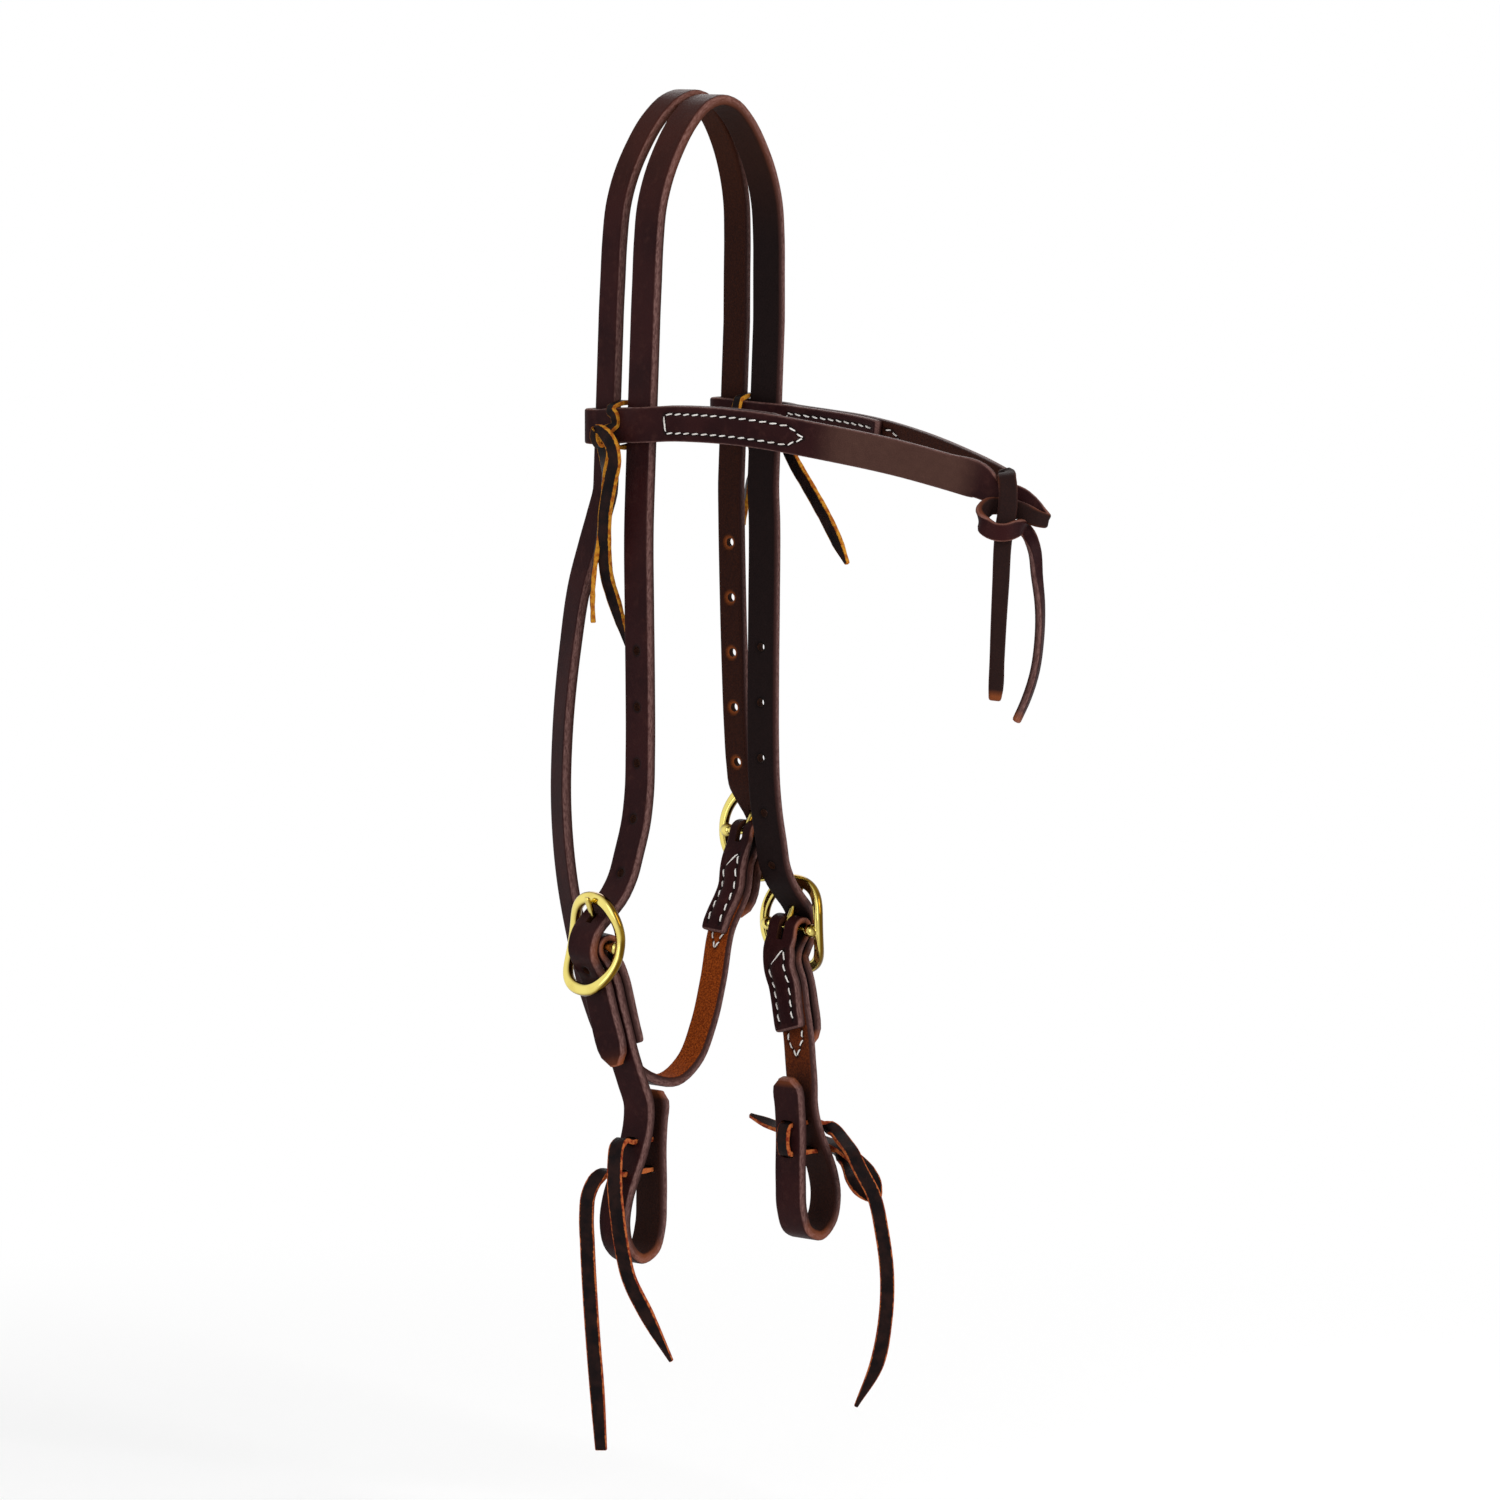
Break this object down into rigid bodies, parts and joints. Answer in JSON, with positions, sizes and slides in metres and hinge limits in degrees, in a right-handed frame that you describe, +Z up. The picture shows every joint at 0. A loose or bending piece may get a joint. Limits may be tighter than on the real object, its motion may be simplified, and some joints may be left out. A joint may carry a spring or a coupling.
{
  "type": "western headstall",
  "caption": "Western browband headstall in dark harness leather: knotted browband, brass centre-bar buckles, throat strap, and laced loops that hold a bit.",
  "frame": {"origin": "the poll: the underside of the crown at its top, in the middle of the head", "axes": "+Z up, the horse's nose along -Y, the horse's right side at -X"},
  "size_m": [0.1602, 0.2591, 0.6029],
  "materials": {
    "harness_leather": "dark oiled grain, smooth, with lighter burnished edges and a red-brown flesh side",
    "lace_leather": "near-black face with raw tan edges",
    "polished_brass": "polished",
    "white_thread": "waxed thread"
  },
  "bodies": {
    "headstall": {"crown_cheek_strap": "harness_leather", "crown_throat_strap": "harness_leather", "left_bit_lace": "lace_leather", "left_cheek_bobbin_thread": "white_thread", "left_cheek_buckle_frame": "polished_brass", "left_cheek_needle_thread": "white_thread", "left_cheek_piece": "harness_leather", "right_bit_lace": "lace_leather", "right_cheek_bobbin_thread": "white_thread", "right_cheek_buckle_frame": "polished_brass", "right_cheek_needle_thread": "white_thread", "right_cheek_piece": "harness_leather", "throat_bobbin_thread": "white_thread", "throat_buckle_frame": "polished_brass", "throat_needle_thread": "white_thread"},
    "browband": {"left_browband_bobbin_thread": "white_thread", "left_browband_half": "harness_leather", "left_browband_needle_thread": "white_thread", "left_browband_tie_lace": "lace_leather", "right_browband_bobbin_thread": "white_thread", "right_browband_half": "harness_leather", "right_browband_needle_thread": "white_thread", "right_browband_tie_lace": "lace_leather"},
    "right_cheek_buckle_tongue": {"right_cheek_buckle_tongue": "polished_brass"},
    "left_cheek_buckle_tongue": {"left_cheek_buckle_tongue": "polished_brass"},
    "throat_buckle_tongue": {"throat_buckle_tongue": "polished_brass"}
  },
  "joints": [
    {"name": "right_cheek_buckle_tongue_hinge", "type": "hinge", "parent": "headstall", "child": "right_cheek_buckle_tongue", "pos_m": [-0.0645, 0.0045, -0.375], "axis": [-0.0789, -0.9946, -0.0679], "range_deg": [0, 10]},
    {"name": "left_cheek_buckle_tongue_hinge", "type": "hinge", "parent": "headstall", "child": "left_cheek_buckle_tongue", "pos_m": [0.0645, 0.0045, -0.379], "axis": [-0.0789, 0.9946, 0.0679], "range_deg": [0, 10]},
    {"name": "throat_buckle_tongue_hinge", "type": "hinge", "parent": "headstall", "child": "throat_buckle_tongue", "pos_m": [0.054, 0.0205, -0.3355], "axis": [-0.0698, 0.9976, 0], "range_deg": [0, 10]},
    {"name": "browband_slide", "type": "slide", "parent": "headstall", "child": "browband", "axis": [0, -0.0472, 0.9989], "range_m": [0, 0.02]}
  ]
}
